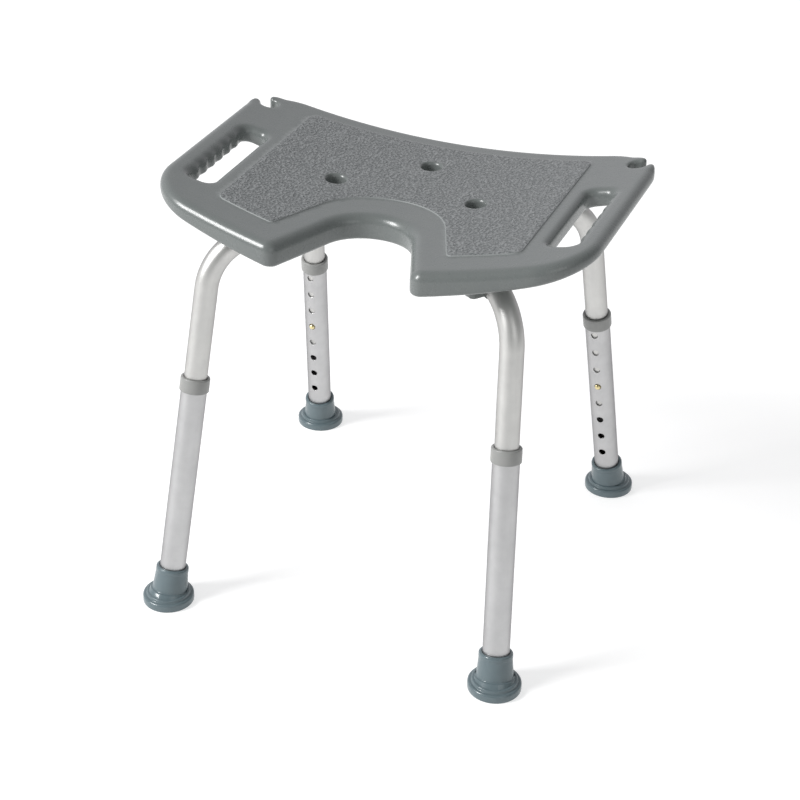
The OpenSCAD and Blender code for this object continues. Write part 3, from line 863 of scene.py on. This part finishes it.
def leg_tube_mesh():
    """A tube with a row of drilled holes: a pierced sheet rolled up about Z."""
    # Points round the tube, along it and round each hole
    columns, rows, around = 72, 64, 32
    half = math.pi * LEG_R
    length = LEG_TOP - LEG_BASE
    border = [(-half + 2 * half * i / columns, LEG_BASE) for i in range(columns)]
    border += [(half, LEG_BASE + length * i / rows) for i in range(rows)]
    border += [(half - 2 * half * i / columns, LEG_TOP) for i in range(columns)]
    border += [(-half, LEG_TOP - length * i / rows) for i in range(rows)]
    border = np.array(border)
    angles = -np.arange(around) * 2 * math.pi / around
    reach = HOLE_R + HOLE_BEVEL
    hole_rings = [np.column_stack([LEG_R * np.arcsin(reach * np.cos(angles) / LEG_R),
                                   z + reach * np.sin(angles)]) for z in HOLES]
    grid, tris = fill_region([border] + hole_rings, [], 3 * MM, 1.2 * MM)
    sheet = np.vstack([border] + hole_rings + [grid])

    def rolled(r):
        a = sheet[:, 0] / LEG_R
        return np.column_stack([r * np.sin(a), r * np.cos(a), sheet[:, 1]])

    # The outside and the bore are both the whole sheet. In the bore the holes are straight drilled
    verts = list(rolled(LEG_R))
    faces = [tuple(f) for f in tris]
    inner_base = len(verts)
    inner = rolled(LEG_BORE_R)
    starts = [len(border) + around * k for k in range(len(HOLES))]
    for at, z in zip(starts, HOLES):
        x, h = HOLE_R * np.cos(angles), z + HOLE_R * np.sin(angles)
        inner[at:at + around] = np.column_stack([x, np.sqrt(LEG_BORE_R**2 - x**2), h])
    verts += list(inner)
    faces += [tuple(inner_base + i for i in f[::-1]) for f in tris]
    for at, z in zip(starts, HOLES):
        rings = [list(range(at, at + around))]
        for k in (1, 2, 3):
            phi = math.pi / 2 * k / 3
            r = HOLE_R + HOLE_BEVEL * (1 - math.sin(phi))
            x = r * np.cos(angles)
            y = np.sqrt(LEG_R**2 - x**2) - HOLE_BEVEL * (1 - math.cos(phi))
            rings.append(list(range(len(verts), len(verts) + around)))
            verts += list(np.column_stack([x, y, z + r * np.sin(angles)]))
        rings.append(list(range(inner_base + at, inner_base + at + around)))
        faces += joined(rings[::-1])
    for start in (0, columns + rows):
        for i in range(start, start + columns):
            faces.append((i, inner_base + i, inner_base + i + 1, i + 1))
    return verts, faces


LEG_MESH = leg_tube_mesh()

# The collar sits over the top of the leg, and its lip covers the leg's end and guides the tube
COLLAR_PROFILE = rounded_profile([
    (LEG_R, 0, 0), (COLLAR_R, 0, 1.2 * MM), (COLLAR_R, COLLAR_H, 1.6 * MM),
    (COLLAR_BORE_R, COLLAR_H, 0.6 * MM), (COLLAR_BORE_R, COLLAR_H - COLLAR_LIP, 0),
    (LEG_R, COLLAR_H - COLLAR_LIP, 0), (LEG_R, 0, 0),
])

# The button has a flange inside the frame tube and a domed tip. Heights are from the tube's axis
BUTTON_R, FLANGE_R = 3.4 * MM, 4.2 * MM
BUTTON_FOOT, FLANGE_TOP, BUTTON_TIP = 9.5 * MM, 10.4 * MM, 17 * MM
BUTTON_PROFILE = rounded_profile([
    (0, BUTTON_FOOT, 0), (FLANGE_R, BUTTON_FOOT, 0.2 * MM), (FLANGE_R, FLANGE_TOP, 0.3 * MM),
    (BUTTON_R, FLANGE_TOP, 0.2 * MM), (BUTTON_R, BUTTON_TIP, 3.0 * MM), (0, BUTTON_TIP, 0),
])

# The foot's profiles are (radius, height, rounding) in millimetres. The level one has the rings
# of its tread, its flange and a step. The leaning one has the sleeve, its lip and the socket
FOOT_LEVEL = rounded_profile([
    (0, 1.2, 0), (8, 1.2, 0.5), (8.6, 0, 0.3), (13, 0, 0.3), (13.6, 1.2, 0.5), (17, 1.2, 0.5),
    (17.6, 0, 0.3), (22, 0, 0.3), (22.6, 1.2, 0.5), (25, 1.2, 0.4), (25.4, 0, 0.2),
    (28.5, 0, 1.2), (28.5, 10, 2.6), (24.8, 9.2, 0.9), (24, 12.6, 1.2), (21.6, 12.8, 0),
], 4)
FOOT_LEANING = rounded_profile([
    (21.6, 12.8, 0), (19.7, 13.2, 1.2), (18.0, 34.6, 0.6), (18.3, 35.4, 0.5), (18.1, 40, 1.9),
    (15.2, 40, 0.9), (14.35, 38.8, 0.4), (14.35, 10, 0.4), (0, 10, 0),
], 5)


def foot_mesh(corner):
    """A rubber ferrule: rings that are level on the floor and lean with the leg up the sleeve."""
    up, foot = leg_up(corner), MOUNTS["floor_" + corner]
    side = Vector((0, 1, 0)).cross(up).normalized()
    front = up.cross(side)
    level = [(r * MM, h * MM, False) for r, h in FOOT_LEVEL]
    leaning = [(r * MM, h * MM, True) for r, h in FOOT_LEANING]
    verts, rings = [], []
    for r, h, leans in level + leaning:
        ring = []
        for i in range(SIDES if r > 0 else 1):
            a = 2 * math.pi * i / SIDES
            ring.append(len(verts))
            if leans:
                verts.append(foot + up * (h / up.z) + (side * math.cos(a) + front * math.sin(a)) * r)
            else:
                verts.append(foot + Vector((r * math.cos(a), r * math.sin(a), h)))
        rings.append(ring * (SIDES if r == 0 else 1))
    return verts, joined(rings)


def leg_pieces(corner):
    leg, body = leg_matrix(corner), "leg_" + corner
    verts, faces = LEG_MESH
    add_piece("lower_tube_" + corner + "_visual", moved(verts, leg), faces, [LEG_ALUMINIUM],
              body, ["lower_tube_" + corner], sharp=50, flow=verts)
    verts, faces = lathe(COLLAR_PROFILE)
    place = leg @ Matrix.Translation((0, 0, COLLAR_BASE))
    add_piece("collar_" + corner + "_visual", moved(verts, place), faces, [COLLAR_GREY],
              body, ["collar_" + corner], sharp=40)
    verts, faces = foot_mesh(corner)
    add_piece("foot_" + corner + "_visual", verts, faces, [FOOT_GREY], body,
              ["foot_" + corner], sharp=50)
    softened("foot_washer_" + corner, 0.2 * MM, STEEL, body)


def lock_pieces(corner):
    """The snap button, and its leaf spring, which gets a mesh of its own."""
    leg = leg_matrix(corner)
    verts, faces = lathe(BUTTON_PROFILE, SIDES // 2)
    place = leg @ Matrix.Translation((0, 0, BUTTON_AT)) @ Matrix.Rotation(-math.pi / 2, 4, "X")
    add_piece("snap_button_" + corner + "_visual", moved(verts, place), faces, [BRASS],
              "button_" + corner, ["snap_button_" + corner], sharp=50)
    spring = softened("snap_spring_" + corner, 0.15 * MM, STEEL, "seat_frame")
    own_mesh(spring)


for corner in CORNERS:
    leg_pieces(corner)
    lock_pieces(corner)
    softened("saddle_" + corner, 0.8 * MM, SEAT_GREY, "seat_frame")

softened("saddle_screws", 0.15 * MM, STEEL, "seat_frame")
softened("cross_bolt", 0.3 * MM, STEEL, "seat_frame")
softened("cross_washer", 0.2 * MM, STEEL, "seat_frame")
softened("seat_insert", 0.2 * MM, BRASS, "seat_frame")


# ------------------------------------------------------------------ stage, light and camera

FLOOR_SIZE = 40


def pale_floor():
    """A plain near-white floor. Its own glow keeps it pale without washing out the shadows."""
    material, _, _, shader = new_material("floor_paper")
    shader.inputs["Base Color"].default_value = (0.5, 0.5, 0.5, 1)
    shader.inputs["Roughness"].default_value = 0.9
    shader.inputs["Emission Color"].default_value = (1, 1, 1, 1)
    shader.inputs["Emission Strength"].default_value = 0.62
    bpy.ops.mesh.primitive_plane_add(size=FLOOR_SIZE, location=(0, 0, 0))
    floor = bpy.context.object
    floor.name = "studio_floor"
    floor.data.materials.append(material)


def studio_walls():
    """Soft light from all round, brightest from behind and from the left."""
    world = bpy.data.worlds.new("studio")
    world.use_nodes = True
    nodes, links = world.node_tree.nodes, world.node_tree.links
    nodes["Background"].inputs["Strength"].default_value = 0.85
    sky = nodes.new("ShaderNodeTexCoord")
    towards = nodes.new("ShaderNodeVectorMath")
    towards.operation = "DOT_PRODUCT"
    towards.inputs[1].default_value = (-0.45, 0.89, 0)
    links.new(sky.outputs["Generated"], towards.inputs[0])
    stops = [(0.0, (0.38, 0.39, 0.39)), (0.85, (0.98, 0.96, 1))]
    walls = ramp(nodes, links, towards.outputs["Value"], stops)
    links.new(walls, nodes["Background"].inputs["Color"])
    bpy.context.scene.world = world


def area_light(name, place, target, size, power):
    light = bpy.data.lights.new(name, "AREA")
    light.shape = "RECTANGLE"
    light.size, light.size_y = size
    light.energy = power
    lamp = bpy.data.objects.new(name, light)
    lamp.location = place
    lamp.rotation_euler = (Vector(target) - Vector(place)).to_track_quat("-Z", "Y").to_euler()
    bpy.context.scene.collection.objects.link(lamp)


# The camera stands in front, to the right and above, and its lens is shifted to frame the stool
CAMERA_PLACE = (0.6907, -1.7766, 1.3185)
CAMERA_YAW, CAMERA_PITCH = math.radians(23.75), math.radians(26.79)
CAMERA_LENS, CAMERA_SENSOR = 88.1, 36
CAMERA_SHIFT = (0.091, -0.166)


def camera():
    data = bpy.data.cameras.new("camera")
    data.lens, data.sensor_width = CAMERA_LENS, CAMERA_SENSOR
    data.shift_x, data.shift_y = CAMERA_SHIFT
    cam = bpy.data.objects.new("camera", data)
    bpy.context.scene.collection.objects.link(cam)
    heading = Vector((-math.sin(CAMERA_YAW), math.cos(CAMERA_YAW), 0))
    forward = heading * math.cos(CAMERA_PITCH) - Vector((0, 0, math.sin(CAMERA_PITCH)))
    right = Vector((math.cos(CAMERA_YAW), math.sin(CAMERA_YAW), 0))
    rotation = Matrix((right, right.cross(forward), -forward)).transposed().to_4x4()
    cam.matrix_world = Matrix.Translation(CAMERA_PLACE) @ rotation
    bpy.context.scene.camera = cam


pale_floor()
studio_walls()
camera()
area_light("key", (-2.8, -2.3, 2.9), (0, 0, 0.4), (1.3, 1.9), 230)
area_light("fill", (2.2, -1.8, 1.6), (0, 0, 0.3), (1.5, 1.5), 8)
bpy.context.scene.view_settings.view_transform = "Standard"
